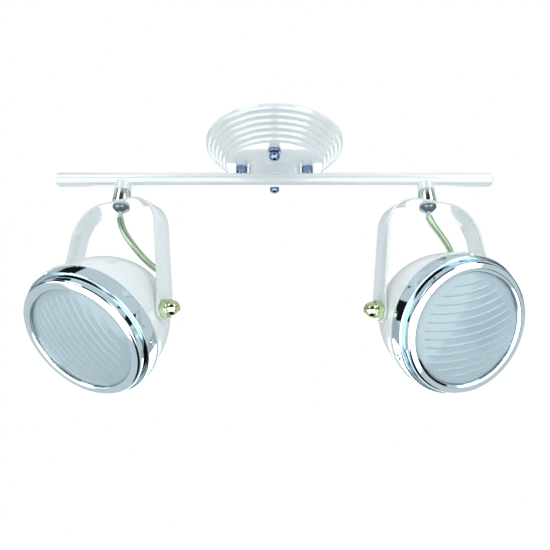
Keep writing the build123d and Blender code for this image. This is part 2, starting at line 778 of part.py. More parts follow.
# ---------------------------------------------------------------- leads
def lead_points(head):
    """The lead's corners in the yoke's frame, from the cap nut to the bottom of the gland's socket."""
    seat = at_pivot(Rot(head["dip"], 0, 0) * gland_place())
    socket = (seat * Pos(0, 0, gland_height - gland_cable_depth + seat_gap)).position
    last = (seat * Pos(0, 0, gland_height + head["gland_run"])).position
    return [Vector(0, 0, head["lead_start"])] + [Vector(*p) for p in head["route"]] + [last, socket]


def lead_radii(points):
    radii = []
    for before, corner, after in zip(points, points[1:], points[2:]):
        turn = (corner - before).get_angle(after - corner)
        shorter = min((corner - before).length, (after - corner).length)
        radii.append(0.45 * shorter / tan(radians(turn) / 2))
    return radii


def cable(name, head):
    points = lead_points(head)
    radii = lead_radii(points)
    path = FilletPolyline(*points, radius=radii)
    section = Plane(path @ 0, z_dir=path % 0) * Circle(cable_radius)
    tube_shape = sweep(section, path)
    expected = pi * cable_radius**2 * path.length
    print(name, "lead radii", [round(r, 1) for r in radii], "length", round(path.length, 1),
          "volume over section x length", round(tube_shape.volume / expected, 4))
    return tube_shape


def lead_core(head):
    """The pale inner sleeve that shows between the cap nut and the sheathed lead."""
    return rod(lead_core_radius, head["lead_start"], boss_bottom)


# ---------------------------------------------------------------- put together
def save_rose_and_bar():
    save("canopy", rose())
    save("mounting_plate", mounting_plate())
    save("plate_studs", studs())
    save("ball_nuts", ball_nuts())
    save("terminal_block", terminal_block())
    save("terminal_screws", terminal_screws())
    save("earth_screw", earth_screw())
    save("bar_tube", bar_tube())
    save("bar_end_caps", end_caps())
    save("bar_saddle", saddle())
    save("bar_standoffs", standoffs())
    save("bar_insert", bar_insert())
    save("bar_screws", bar_screws())
    save("wire_bushing", wire_bushing())


def place_all(place, shape):
    return [place * s for s in shape] if isinstance(shape, list) else place * shape


def save_side(name, head):
    stem = Pos(head["place"], 0, 0)
    swivel = stem * Rot(0, 0, head["turn"])
    pivot = swivel * Pos(0, 0, pivot_height) * Rot(head["dip"], 0, 0)
    lens_turn = pivot * Rot(0, head["lens_turn"], 0)
    screw_turn = pivot * Rot(0, -head["screw_turn"], 0)
    for node, place, shape in (
        ("bar_boss", stem, bar_boss()),
        ("stem_sleeve", stem, stem_sleeve()),
        ("swivel_nipple", stem, swivel_nipple()),
        ("cap_nut", stem, cap_nut()),
        ("yoke", swivel, yoke()),
        ("swivel_washers", swivel, swivel_washers()),
        ("lead_core", swivel, lead_core(head)),
        ("cable", swivel, cable(name, head)),
        ("lens", lens_turn, lens()),
        ("lens_gasket", pivot, gasket()),
        ("retaining_ring", pivot, retaining_ring()),
        ("pivot_collars", pivot, pivot_collars()),
        ("pivot_bolts", pivot, pivot_bolts()),
        ("acorn_nuts", pivot, acorn_nuts()),
        ("lamp_bracket", pivot, lamp_bracket()),
        ("lampholder", pivot, lampholder()),
        ("holder_screws", pivot, holder_screws()),
        ("bulb", pivot, bulb()),
        ("cable_gland", pivot, gland()),
        ("bezel", screw_turn, bezel()),
        ("bezel_screws", screw_turn, bezel_screws()),
    ):
        save(f"{name}_{node}", place_all(place, shape))
    save(f"{name}_bowl", pivot * bowl(head["screw_turn"]))


os.makedirs("parts", exist_ok=True)
save_rose_and_bar()
for side_name, side_head in heads.items():
    save_side(side_name, side_head)
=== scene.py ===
from math import acos, asin, atan2, cos, degrees, hypot, pi, radians, sin, sqrt, tan

import bmesh
import bpy
from mathutils import Matrix, Vector


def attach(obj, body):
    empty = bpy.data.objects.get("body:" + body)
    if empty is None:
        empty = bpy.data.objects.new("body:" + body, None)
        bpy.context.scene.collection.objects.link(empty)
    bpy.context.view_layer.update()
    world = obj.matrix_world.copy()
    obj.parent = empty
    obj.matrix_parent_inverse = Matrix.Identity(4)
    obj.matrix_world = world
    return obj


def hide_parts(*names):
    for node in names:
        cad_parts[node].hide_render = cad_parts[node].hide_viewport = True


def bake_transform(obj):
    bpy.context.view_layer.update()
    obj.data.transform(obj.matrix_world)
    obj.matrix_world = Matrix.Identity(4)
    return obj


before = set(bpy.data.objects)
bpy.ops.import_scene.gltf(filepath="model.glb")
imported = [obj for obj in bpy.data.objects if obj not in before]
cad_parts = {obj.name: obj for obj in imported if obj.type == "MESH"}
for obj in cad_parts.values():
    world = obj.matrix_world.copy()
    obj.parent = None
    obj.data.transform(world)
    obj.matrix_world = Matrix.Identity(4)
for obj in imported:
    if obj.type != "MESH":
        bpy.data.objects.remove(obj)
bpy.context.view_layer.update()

# Sizes are in millimetres, as in the model, and turn into metres when a mesh is made. Heights and
# levels count from the mounting face, and a lamp's stations forwards from its pivot.
MM = 0.001
PIVOT_HEIGHT = -177.92
BAR_DROP, BAR_RADIUS, BAR_BORE, BAR_HALF = 39.0, 7.0, 6.0, 217.5
ROSE_FACE = -25.7
NUT_OFFSET, STANDOFF_OFFSET = 33.8, 33.4
BOSS_LEVEL, SLEEVE_LEVEL, WASHER_LEVEL, CAP_NUT_LEVEL = -46.0, -51.6, -66.22, -68.84
CORE_TOP, CORE_RADIUS = -51.7, 2.4
ACORN_BASE = 62.65
SCREW_SEAT, SCREW_STATION = 61.9, 27.0
BOWL_RADIUS, BOWL_LENGTH, BOWL_WIDEST = 60.8, 73.0, 20.0
GLAND_OFFSET, GLAND_NOSE, GLAND_SOCKET = 24.0, 6.0, 2.02
LEAD_RADIUS = 0.00315  # in metres, because it follows a path in metres

# Each head's place on the bar, its swivel and dip, how lens and ring sit round the lamp's axis, the
# lead's corners in the yoke's own frame and its last straight run, and the pale core's lower end.
HEADS = {
    "left": {
        "place": -152.3, "turn": -25.4, "dip": 42.0, "lens_turn": -105.0, "screw_turn": -14.5,
        "route": [(0, 0, -81), (2.5, 1, -92), (10, 8, -106.5), (17, 19, -119.5), (23, 31, -128),
                  (28.5, 40.5, -132)],
        "gland_run": 4.0, "core_end": -83.0,
    },
    "right": {
        "place": 152.3, "turn": 18.8, "dip": 27.5, "lens_turn": 163.0, "screw_turn": -148.3,
        "route": [(0, 0, -79), (4, 1, -86.5), (17, 5, -96), (31, 10, -108), (40, 22, -121),
                  (41, 38, -133), (35, 51, -141)],
        "gland_run": 6.0, "core_end": -81.5,
    },
}


# ---------------------------------------------------------------- camera
camera = bpy.data.objects.new("camera", bpy.data.cameras.new("camera"))
camera.location = (0.0005, -0.4206, -0.2607)
camera.rotation_euler = (radians(106.1), 0, 0)
camera.data.sensor_fit = "HORIZONTAL"
camera.data.sensor_width = 36.0
camera.data.lens = 30.12
camera.data.clip_start = 0.01
bpy.context.scene.collection.objects.link(camera)
bpy.context.scene.camera = camera
bpy.context.scene.view_settings.view_transform = "Standard"
bpy.context.scene.view_settings.look = "None"


# ---------------------------------------------------------------- materials
def material(name, **sockets):
    made = bpy.data.materials.new(name)
    made.use_nodes = True
    shader = made.node_tree.nodes["Principled BSDF"]
    for socket, value in sockets.items():
        shader.inputs[socket.replace("_", " ")].default_value = value
    return made, made.node_tree, shader


def noise(tree, scale, detail=3.0, roughness=0.5):
    place = tree.nodes.new("ShaderNodeTexCoord")
    made = tree.nodes.new("ShaderNodeTexNoise")
    made.inputs["Scale"].default_value = scale
    made.inputs["Detail"].default_value = detail
    made.inputs["Roughness"].default_value = roughness
    tree.links.new(place.outputs["Object"], made.inputs["Vector"])
    return made.outputs["Fac"]


def spread(tree, value, low, high):
    """Maps the middle of a 0 to 1 texture to a low to high range."""
    made = tree.nodes.new("ShaderNodeMapRange")
    made.inputs["From Min"].default_value = 0.3
    made.inputs["From Max"].default_value = 0.7
    made.inputs["To Min"].default_value = low
    made.inputs["To Max"].default_value = high
    tree.links.new(value, made.inputs["Value"])
    return made.outputs["Result"]


def tint(tree, value, dark, light):
    made = tree.nodes.new("ShaderNodeMix")
    made.data_type = "RGBA"
    made.inputs["A"].default_value = (*dark, 1)
    made.inputs["B"].default_value = (*light, 1)
    tree.links.new(value, made.inputs["Factor"])
    return made.outputs["Result"]


def bump(tree, shader, height, distance, strength):
    made = tree.nodes.new("ShaderNodeBump")
    made.inputs["Distance"].default_value = distance
    made.inputs["Strength"].default_value = strength
    tree.links.new(height, made.inputs["Height"])
    tree.links.new(made.outputs["Normal"], shader.inputs["Normal"])


def coloured(tree, shader, scale, dark, light):
    """A base colour that wavers softly between two tones."""
    mixed = tint(tree, spread(tree, noise(tree, scale), 0, 1), dark, light)
    tree.links.new(mixed, shader.inputs["Base Color"])


def glossed(tree, shader, texture, low, high):
    """A roughness that wavers between two values."""
    tree.links.new(spread(tree, texture, low, high), shader.inputs["Roughness"])


def lacquer(name, dark=(0.83, 0.865, 0.88), light=(0.87, 0.90, 0.91)):
    """Gloss paint on metal: even colour, a hint of orange peel under a clear, sharp surface."""
    made, tree, shader = material(name, IOR=1.5, Coat_Weight=1.0, Coat_Roughness=0.05, Coat_IOR=1.7)
    coloured(tree, shader, 14, dark, light)
    glossed(tree, shader, noise(tree, 60), 0.16, 0.24)
    bump(tree, shader, noise(tree, 700, 1.0), 0.00003, 0.35)
    return made


def plated(name, dark, light, smooth, dull, ripple=0.0):
    """Polished plate: faint smears in the gloss and a slow waviness in the metal below."""
    made, tree, shader = material(name, Metallic=1.0)
    coloured(tree, shader, 30, dark, light)
    glossed(tree, shader, noise(tree, 120, 5.0, 0.7), smooth, dull)
    if ripple:
        bump(tree, shader, noise(tree, 40, 1.0), ripple, 0.5)
    return made


def moulded(name, dark, light, rough):
    """Moulded plastic, rubber or plain glass, with a fine grain."""
    play = 0.06
    made, tree, shader = material(name, IOR=1.48)
    coloured(tree, shader, 50, dark, light)
    glossed(tree, shader, noise(tree, 200), rough - play, rough + play)
    bump(tree, shader, noise(tree, 1500, 2.0), 0.00002, 0.5)
    return made


def frosted(name):
    """Pressed, frosted glass: a milky body with a fine grain and a soft gloss."""
    made, tree, shader = material(name, IOR=1.5, Transmission_Weight=0.1, Coat_Weight=1.0,
                                  Coat_Roughness=0.06, Coat_IOR=1.6)
    coloured(tree, shader, 25, (0.47, 0.61, 0.68), (0.52, 0.65, 0.72))
    glossed(tree, shader, noise(tree, 300), 0.38, 0.5)
    bump(tree, shader, noise(tree, 2500, 2.0), 0.00003, 0.6)
    return made


def sheath(name):
    """A glossy olive sheath with the weave of the braid below just showing."""
    made, tree, shader = material(name, IOR=1.5, Metallic=0.55, Coat_Weight=1.0,
                                  Coat_Roughness=0.08)
    strands = 28.0
    place = tree.nodes.new("ShaderNodeTexCoord")
    braid = tree.nodes.new("ShaderNodeTexChecker")
    braid.inputs["Scale"].default_value = 1.0
    stretch = tree.nodes.new("ShaderNodeMapping")
    stretch.inputs["Rotation"].default_value = (0, 0, radians(45))
    stretch.inputs["Scale"].default_value = (strands, strands, strands)
    tree.links.new(place.outputs["UV"], stretch.inputs["Vector"])
    tree.links.new(stretch.outputs["Vector"], braid.inputs["Vector"])
    mixed = tint(tree, braid.outputs["Fac"], (0.30, 0.42, 0.27), (0.36, 0.48, 0.32))
    tree.links.new(mixed, shader.inputs["Base Color"])
    glossed(tree, shader, noise(tree, 150), 0.22, 0.3)
    bump(tree, shader, braid.outputs["Fac"], 0.00003, 0.4)
    return made


WHITE = lacquer("white_lacquer")
# The straps have the same white lacquer as the rest; this darker copy of it is painted shade.
STRAP_WHITE_PAINTED_SHADE = lacquer("white_lacquer_painted_shade", (0.79, 0.83, 0.85), (0.83, 0.865, 0.88))
CHROME = plated("chrome_plate", (0.60, 0.70, 0.745), (0.64, 0.735, 0.775), 0.02, 0.05, 0.00002)
# The ball nuts and standoffs are plain chrome; their dark navy base colour is a painted dark
# reflection.
CHROME_PAINTED_DARK = plated("chrome_plate_painted_dark_reflection", (0.15, 0.21, 0.33), (0.21, 0.27, 0.39), 0.04, 0.09)
# The cap nut is chrome as well; its near-black base colour is painted shade.
CAP_CHROME_PAINTED_SHADE = plated("chrome_plate_painted_shade", (0.13, 0.17, 0.20), (0.18, 0.22, 0.25), 0.05, 0.1)
BRASSY = plated("yellow_plate", (0.50, 0.60, 0.36), (0.60, 0.69, 0.45), 0.05, 0.11)
NICKEL = plated("satin_nickel", (0.54, 0.61, 0.57), (0.64, 0.71, 0.66), 0.14, 0.24)
ZINC = plated("zinc_steel", (0.5, 0.51, 0.52), (0.62, 0.63, 0.64), 0.25, 0.4)
BRASS = plated("machined_brass", (0.6, 0.45, 0.18), (0.72, 0.56, 0.26), 0.2, 0.35)
LENS = frosted("frosted_glass")
PALE_PLASTIC = moulded("pale_plastic", (0.66, 0.67, 0.64), (0.74, 0.75, 0.72), 0.4)
CORE = moulded("pale_core", (0.56, 0.58, 0.52), (0.66, 0.68, 0.62), 0.45)
BLACK_PLASTIC = moulded("black_plastic", (0.02, 0.02, 0.022), (0.04, 0.04, 0.042), 0.5)
RUBBER = moulded("black_rubber", (0.015, 0.015, 0.015), (0.03, 0.03, 0.03), 0.7)
LAMP_GLASS = moulded("lamp_glass", (0.8, 0.8, 0.78), (0.88, 0.88, 0.86), 0.25)
SHEATH = sheath("lead_sheath")


# ---------------------------------------------------------------- places
def spin(angle, axis):
    return Matrix.Rotation(radians(angle), 4, axis)


def shift(x, y, z):
    return Matrix.Translation((x, y, z))


def stem_place(head):
    return shift(head["place"], 0, 0)


def yoke_place(head):
    return stem_place(head) @ spin(head["turn"], "Z")


def head_place(head):
    return yoke_place(head) @ shift(0, 0, PIVOT_HEIGHT) @ spin(head["dip"], "X")


def lamp_place(head):
    """Local Z runs forwards along the lamp's axis."""
    return head_place(head) @ spin(90, "X")


UNMOVED = Matrix.Identity(4)
ALONG_BAR = shift(0, 0, -BAR_DROP) @ spin(90, "Y")
DOWN = spin(180, "X")


# ---------------------------------------------------------------- meshes
def finish_piece(name, points, faces, place, finish, slot, body, nodes, sharp=32, uvs=None):
    """Makes the object, in metres, gives it its finish, ties it to its body and hides the solids it
    stands for.
    """
    mesh = bpy.data.meshes.new(name)
    mesh.from_pydata([tuple((place @ Vector(p)) * MM) for p in points], [], faces)
    if uvs:
        layer = mesh.uv_layers.new(name="UVMap")
        for loop in mesh.loops:
            layer.data[loop.index].uv = uvs[loop.vertex_index]
    work = bmesh.new()
    work.from_mesh(mesh)
    bmesh.ops.recalc_face_normals(work, faces=work.faces)
    work.to_mesh(mesh)
    work.free()
    mesh.shade_smooth()
    mesh.set_sharp_from_angle(angle=radians(sharp))
    mesh.materials.append(finish)
    piece = bpy.data.objects.new(name, mesh)
    bpy.context.scene.collection.objects.link(piece)
    if body:
        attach(piece, body)
    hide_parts(*nodes)
    return piece


def bow(start, middle, end, count):
    """Points of the circle through three points, from the first to the last."""
    (ax, ay), (bx, by), (cx, cy) = start, middle, end
    a2, b2, c2 = ax**2 + ay**2, bx**2 + by**2, cx**2 + cy**2
    d = 2 * (ax * (by - cy) + bx * (cy - ay) + cx * (ay - by))
    ux = (a2 * (by - cy) + b2 * (cy - ay) + c2 * (ay - by)) / d
    uy = (a2 * (cx - bx) + b2 * (ax - cx) + c2 * (bx - ax)) / d
    first, last = atan2(ay - uy, ax - ux), atan2(cy - uy, cx - ux)
    half = atan2(by - uy, bx - ux)
    sweep = (last - first) % (2 * pi)
    if (half - first) % (2 * pi) > sweep:
        sweep -= 2 * pi
    radius = hypot(ax - ux, ay - uy)
    angles = [first + sweep * i / count for i in range(count + 1)]
    return [(ux + radius * cos(angle), uy + radius * sin(angle)) for angle in angles]


def eased(outline, sizes, steps=5):
    """Rounds the corners of an open outline: one radius per inner corner, or one for all."""
    none, straight, almost_half = 1e-9, 0.02, 0.49
    if isinstance(sizes, (int, float)):
        sizes = [sizes] * (len(outline) - 2)
    points = [outline[0]]
    for before, corner, after, size in zip(outline, outline[1:], outline[2:], sizes):
        a, b = Vector(before) - Vector(corner), Vector(after) - Vector(corner)
        if a.length < none or b.length < none or abs(a.angle(b) - pi) < straight:
            points.append(tuple(corner))
            continue
        reach = min(size / tan(a.angle(b) / 2), a.length * almost_half, b.length * almost_half)
        real = reach * tan(a.angle(b) / 2)
        start, end = (Vector(corner) + way.normalized() * reach for way in (a, b))
        inwards = (a.normalized() + b.normalized()).normalized()
        centre = Vector(corner) + inwards * hypot(real, reach)
        first, last = start - centre, end - centre
        turn = first.angle(last)
        side = 1 if first.x * last.y - first.y * last.x > 0 else -1
        for i in range(steps + 1):
            angle = side * turn * i / steps
            points.append((centre.x + first.x * cos(angle) - first.y * sin(angle),
                           centre.y + first.x * sin(angle) + first.y * cos(angle)))
    points.append(outline[-1])
    return points


def circle(steps):
    """The angles of equal steps round a circle."""
    return [2 * pi * i / steps for i in range(steps)]


def lathe(outline, steps, closed=False):
    """Points and faces of an outline of (radius, height) turned about Z."""
    on_axis = 1e-5
    points, rings, faces = [], [], []
    for radius, height in outline:
        if radius < on_axis:
            rings.append([len(points)])
            points.append((0, 0, height))
        else:
            rings.append(list(range(len(points), len(points) + steps)))
            points += [(radius * cos(angle), radius * sin(angle), height)
                       for angle in circle(steps)]
    pairs = list(zip(rings, rings[1:]))
    if closed:
        pairs.append((rings[-1], rings[0]))
    for a, b in pairs:
        for i in range(steps):
            j = (i + 1) % steps
            ring = [a[i % len(a)], a[j % len(a)], b[j % len(b)], b[i % len(b)]]
            corners = list(dict.fromkeys(ring))
            if len(corners) > 2:
                faces.append(corners)
    return points, faces


def skinned(levels):
    """Points and faces of a skin over rings of equally many points, and each ring's numbers."""
    count = len(levels[0])
    rings = [list(range(i * count, (i + 1) * count)) for i in range(len(levels))]
    faces = [[a[i], a[(i + 1) % count], b[(i + 1) % count], b[i]]
             for a, b in zip(rings, rings[1:]) for i in range(count)]
    return [point for level in levels for point in level], faces, rings


def joined(*parts):
    """Several (points, faces) in one, each already in its place."""
    points, faces = [], []
    for some, more in parts:
        faces += [[i + len(points) for i in face] for face in more]
        points += some
    return points, faces


def moved(part, place):
    points, faces = part
    return [tuple(place @ Vector(p)) for p in points], faces


# ---------------------------------------------------------------- rose and bar
def rose_piece():
    """Spun sheet with six bulging steps, a turned rim and a flat face."""
    rim, face, height, start, wall, steps, bulge = 70.0, 46.7, -ROSE_FACE, 2.4, 1.2, 6, 0.55
    fall, run = height - start, rim - face
    slope = hypot(run, fall)
    edge = eased([(rim - wall, 0), (rim, 0), (rim, -start)], 0.5)[1:-1]
    outside = [(rim - wall, 0), *edge]
    for i in range(steps):
        a = (rim - run * i / steps, -start - fall * i / steps)
        b = (a[0] - run / steps, a[1] - fall / steps)
        middle = ((a[0] + b[0]) / 2 + bulge * fall / slope * 2,
                  (a[1] + b[1]) / 2 - bulge * run / slope * 2)
        outside += bow(a, middle, b, 10)
    below_rim = outside[len(edge) + 2:]
    inside = [(r - wall, z + wall) for r, z in reversed(below_rim)]
    outline = outside + [(face - 0.6, -height), (0, -height), (0, -height + wall)] + inside
    return lathe(outline, 200)


finish_piece("rose_shell", *rose_piece(), UNMOVED, WHITE, "white_rose", "fixture", ["canopy"],
             sharp=24)


def ball_nut():
    """Collar and ball, turned in one piece."""
    ball, collar, height, neck, steps = 5.2, 5.9, 3.0, 3.8, 24
    centre = height + sqrt(ball**2 - neck**2)
    first = asin(neck / ball)
    angles = [first + (pi - first) * i / steps for i in range(steps)]
    sphere = [(ball * sin(angle), centre - ball * cos(angle)) for angle in angles]
    edge = eased([(0, 0), (collar, 0), (collar, height), (neck, height)], [0.3, 0.7])
    return lathe(edge + sphere + [(0, centre + ball)], 72)


ball_nuts = [moved(ball_nut(), shift(0, y, ROSE_FACE) @ DOWN) for y in (-NUT_OFFSET, NUT_OFFSET)]
finish_piece("ball_nut_pair", *joined(*ball_nuts), UNMOVED, CHROME_PAINTED_DARK, "chrome_nuts", "fixture",
             ["ball_nuts"])


def standoff_post():
    radius, height = 5.9, 9.5
    return lathe(eased([(0, 0), (radius, 0), (radius, height), (0, height)], 0.35), 72)


posts = [moved(standoff_post(), shift(x, 0, ROSE_FACE) @ DOWN)
         for x in (-STANDOFF_OFFSET, STANDOFF_OFFSET)]
finish_piece("standoff_pair", *joined(*posts), UNMOVED, CHROME_PAINTED_DARK, "chrome_standoffs", "fixture",
             ["bar_standoffs"])

tube_outline = eased([(BAR_BORE, -BAR_HALF), (BAR_RADIUS, -BAR_HALF), (BAR_RADIUS, BAR_HALF),
                      (BAR_BORE, BAR_HALF)], 0.15)
finish_piece("bar_body", *lathe(tube_outline, 96, closed=True), ALONG_BAR, WHITE, "white_bar",
             "fixture", ["bar_tube"])


def bar_end():
    """Domed cap with its plug in the tube."""
    dome = bow((BAR_RADIUS, 217.9), (3.6, 219.48), (0.0, 220.0), 10)
    plug = [(0, 209.5), (5.95, 209.5), (5.95, 217.52), (6.9, 217.52), (7.0, 217.62)]
    return lathe(plug + dome, 96)


finish_piece("bar_ends", *joined(bar_end(), moved(bar_end(), spin(180, "X"))), ALONG_BAR, WHITE,
             "white_caps", "fixture", ["bar_end_caps"], sharp=40)


def saddle_block():
    """Obround block between rose and bar, its long edges eased."""
    half, radius, top, bottom, ease, steps = 26.0, 7.5, ROSE_FACE, -35.4, 0.8, 24
    profile = ((0, top), (0, bottom + ease), (ease * 0.3, bottom + ease * 0.3), (ease, bottom))
    levels = []
    for inset, height in profile:
        level = []
        for side, first in ((1, -90), (-1, 90)):
            for i in range(steps + 1):
                angle = radians(first + 180 * i / steps)
                level.append((side * (half - radius) + (radius - inset) * cos(angle),
                              (radius - inset) * sin(angle), height))
        levels.append(level)
    points, faces, rings = skinned(levels)
    return points, faces + [rings[0], rings[-1]]


finish_piece("saddle_body", *saddle_block(), UNMOVED, WHITE, "white_saddle", "fixture",
             ["bar_saddle"], sharp=30)


# ---------------------------------------------------------------- yokes
def strap():
    """One strap, 20 x 2, with rounded long edges and half-round ends."""
    half_width, middle, half_strap, half_thick, edge = 61.5, -67.22, 10.0, 1, 0.45
    spacing, narrowest = 3.0, 0.4
    ear_end, ear_top = PIVOT_HEIGHT - half_strap, PIVOT_HEIGHT + 14.0
    right = [(half_width, ear_end), (half_width, ear_top), (48.0, middle)]
    corners = right + [(-x, z) for x, z in reversed(right)]
    path = eased(corners, [12.0, 34.6, 34.6, 12.0], 28)
    dense = []
    for a, b in zip(path, path[1:]):
        length = hypot(b[0] - a[0], b[1] - a[1])
        count = max(1, round(length / spacing))
        dense += [(a[0] + (b[0] - a[0]) * i / count, a[1] + (b[1] - a[1]) * i / count)
                  for i in range(count)]
    dense.append(path[-1])
    ends = [half_strap * (1 - cos(radians(a))) for a in range(4, 91, 6)]
    low = [(half_width, ear_end + rise) for rise in ends]
    body = [p for p in dense if p[1] > PIVOT_HEIGHT + 0.5]
    path = low + body + [(-x, z) for x, z in reversed(low)]
    levels = []
    for i, (x, z) in enumerate(path):
        a, b = path[max(i - 1, 0)], path[min(i + 1, len(path) - 1)]
        along = Vector((b[0] - a[0], b[1] - a[1])).normalized()
        out = Vector((along.y, -along.x))
        under = max(0.0, PIVOT_HEIGHT - z)
        half = sqrt(max(half_strap**2 - under**2, narrowest**2))
        ease = min(edge, half * 0.9)
        ring = []
        sides = ((half, 1, 0), (-half, 1, 90), (-half, -1, 180), (half, -1, 270))
        for across, lift, first in sides:
            cx, cz = across - (ease if across > 0 else -ease), lift * (half_thick - ease)
            for k in range(4):
                angle = radians(first + 30 * k)
                ring.append((cx + ease * cos(angle), cz + ease * sin(angle)))
        levels.append([(x + out.x * t, y, z + out.y * t) for y, t in ring])
    points, faces, rings = skinned(levels)
    return points, faces + [rings[0], rings[-1]]


# ---------------------------------------------------------------- swivels
def boss_piece():
    """Stands up into the tube that it is soldered to."""
    outline = [(0, 4.0), (7.4, 4.0), (8.0, 2.0), (8.0, -5.6), (0, -5.6)]
    return lathe(eased(outline, [0.2, 0.2, 1.2]), 96)


def sleeve_piece():
    return lathe(eased([(5.2, 0), (7.8, 0), (9.2, -14.0), (5.2, -14.0)], [0.6, 0.6]), 120)


def cap_nut_piece():
    dome = bow((8.2, -1.6), (5.0, -4.75), (3.0, -5.62), 12)
    return lathe([(5.1, 0), (7.9, 0), (8.2, -0.3), *dome, (3.0, -5.0), (3.0, -2.0)], 120)


def washer_piece():
    """The slip washers above and below the strap."""
    bore, sizes = 5.05, ((8.6, 0, 0.5), (8.2, -2.5, -2.0))
    outlines = [[(bore, low), (rim, low), (rim, high), (bore, high)] for rim, low, high in sizes]
    return joined(*(lathe(eased(outline, 0.12, 2), 96, closed=True) for outline in outlines))


# ---------------------------------------------------------------- heads
def egg(shrink, front):
    """The bowl's outline from a station back to the pole."""
    wide, deep, count = BOWL_RADIUS - shrink, BOWL_LENGTH - shrink, 40
    first = asin((BOWL_WIDEST - front) / deep)
    angles = [first + (pi / 2 - first) * i / count for i in range(count)]
    curve = [(wide * cos(angle), BOWL_WIDEST - deep * sin(angle)) for angle in angles]
    return curve + [(0, BOWL_WIDEST - deep)]


def bowl_piece():
    """Spun shell: pole, a thin turned lip, and the neck that the bezel slides over."""
    outer = list(reversed(egg(0, 18.6)))
    lip = eased([outer[-1], (61.0, 19.2), (62.9, 19.5), (62.9, 21.1), (61.0, 21.1), (61.0, 31.5),
                 (59.8, 31.5), (59.8, 22.4)], [0.3, 0.6, 0.6, 0.05, 0.4, 0.4, 0.4])
    inner = [(59.6, 21.0), *egg(1.2, 19.4)]
    return lathe(outer + lip[1:] + inner, 200)


def bezel_piece():
    """Spun ring: plain band with a turned edge, a narrow groove, a full front roll and its lip."""
    outside = eased([(61.2, 21.2), (62.0, 21.2), (62.0, 34.1), (61.3, 34.9), (60.3, 32.5),
                     (59.4, 32.5), (58.8, 36.1)], [0.35, 0.8, 0.35, 0.4, 0.4], 6)
    roll = eased([(58.8, 36.1), (58.6, 42.1), (52.6, 43.0), (50.2, 42.4), (49.6, 40.8)],
                 [2.8, 2.5, 0.8], 16)
    inner = [(r - (0.9 if r > 53 else 0.1), z - 0.8) for r, z in reversed(roll)]
    back = [(58.1, 32.4), (58.6, 31.8), (61.1, 31.8), (61.1, 21.6)]
    return lathe(outside + roll[1:] + inner + back, 220, closed=True)


def lens_piece():
    """Pressed glass: a shallow dome with thin bowed beads across it, on a plain skirt."""
    front, dome, edge, bow_radius, under = 40.14, 4.2, 49.1, 165.0, 37.2
    count, pitch, lift, bead = 12, 7.3, 0.6, 1.1
    fade_end, fade_run = 44.0, 4.0
    trim, fine, coarse, across_count = 0.05, 0.22, 0.8, 60
    ball = (edge**2 + dome**2) / (2 * dome)
    beads = [pitch * (i - (count - 1) / 2) for i in range(count)]

    def height(x, y):
        across = hypot(x, y + bow_radius) - bow_radius
        nearest = min(abs(across - place) for place in beads)
        rise = 0.5 + 0.5 * cos(pi * min(1.0, nearest / bead))
        fade = min(1.0, max(0.0, (fade_end - hypot(x, y)) / fade_run))
        return front + dome - ball + sqrt(ball**2 - x * x - y * y) + lift * rise * fade

    levels = []
    level = -edge + trim
    while level < edge - trim:
        levels.append(level)
        near = min(abs(level - place) for place in beads)
        level += fine if near < bead + 0.3 else coarse
    levels.append(edge - trim)
    points, rows, faces = [], [], []
    for level in levels:
        radius = bow_radius + level
        meet = (radius**2 + bow_radius**2 - edge**2) / (2 * radius * bow_radius)
        reach = acos(max(-1.0, min(1.0, meet)))
        row = []
        for k in range(across_count + 1):
            angle = reach * sin(pi / 2 * (2 * k / across_count - 1))
            x, y = radius * sin(angle), radius * cos(angle) - bow_radius
            row.append(len(points))
            points.append((x, y, height(x, y)))
        rows.append(row)
    for a, b in zip(rows, rows[1:]):
        faces += [[a[k], b[k], b[k + 1], a[k + 1]] for k in range(across_count)]
    rim = (rows[0] + [row[-1] for row in rows[1:]] + rows[-1][-2::-1]
           + [row[0] for row in rows[-2:0:-1]])
    back = {i: len(points) + n for n, i in enumerate(rim)}
    points += [(points[i][0], points[i][1], under) for i in rim]
    faces += [[a, b, back[b], back[a]] for a, b in zip(rim, rim[1:] + rim[:1])]
    faces.append([back[i] for i in reversed(rim)])
    skirt = [(48.6, 37.0), (50.0, 36.9), (50.0, 32.5), (53.6, 32.5), (53.6, front), (48.6, front)]
    return joined((points, faces), lathe(skirt, 160, closed=True))


def retainer_piece():
    """Flat ring that holds the lens's skirt from behind, in front of the bowl's neck."""
    bore, rim, low, high = 50.0, 58.0, 31.53, 32.42
    outline = eased([(bore, low), (rim, low), (rim, high), (bore, high)], 0.1, 2)
    return lathe(outline, 160, closed=True)


def screw_head():
    """Pan head with a cross recess that narrows on its way down."""
    turns, arm, half_arm = circle(48), 1.35, 0.28
    pan = [(2.6, -0.1), (2.6, 0.75), (2.35, 1.12), (1.9, 1.28), (1.6, 1.3)]
    recess = [(1.0, 1.28), (0.8, 0.75)]

    def reach(angle):
        """From the axis out to the recess's edge."""
        narrow = min(abs(cos(angle)), abs(sin(angle)))
        return arm if narrow * arm < half_arm else min(arm, half_arm / narrow)

    levels = [[(radius * cos(a), radius * sin(a), height) for a in turns] for radius, height in pan]
    levels += [[(reach(a) * scale * cos(a), reach(a) * scale * sin(a), height) for a in turns]
               for scale, height in recess]
    points, faces, rings = skinned(levels)
    return points, faces + [rings[0][::-1], rings[-1]]


def ring_screws(head):
    """Three screws round the band, their heads sunk a hair into it."""
    count, made = 3, []
    first = spin(-head["screw_turn"], "Y") @ spin(90, "X")
    for i in range(count):
        seat = first @ spin(360 // count * i, "Z") @ shift(SCREW_SEAT, 0, SCREW_STATION)
        made.append(moved(screw_head(), seat @ spin(90, "Y")))
    return joined(*made)


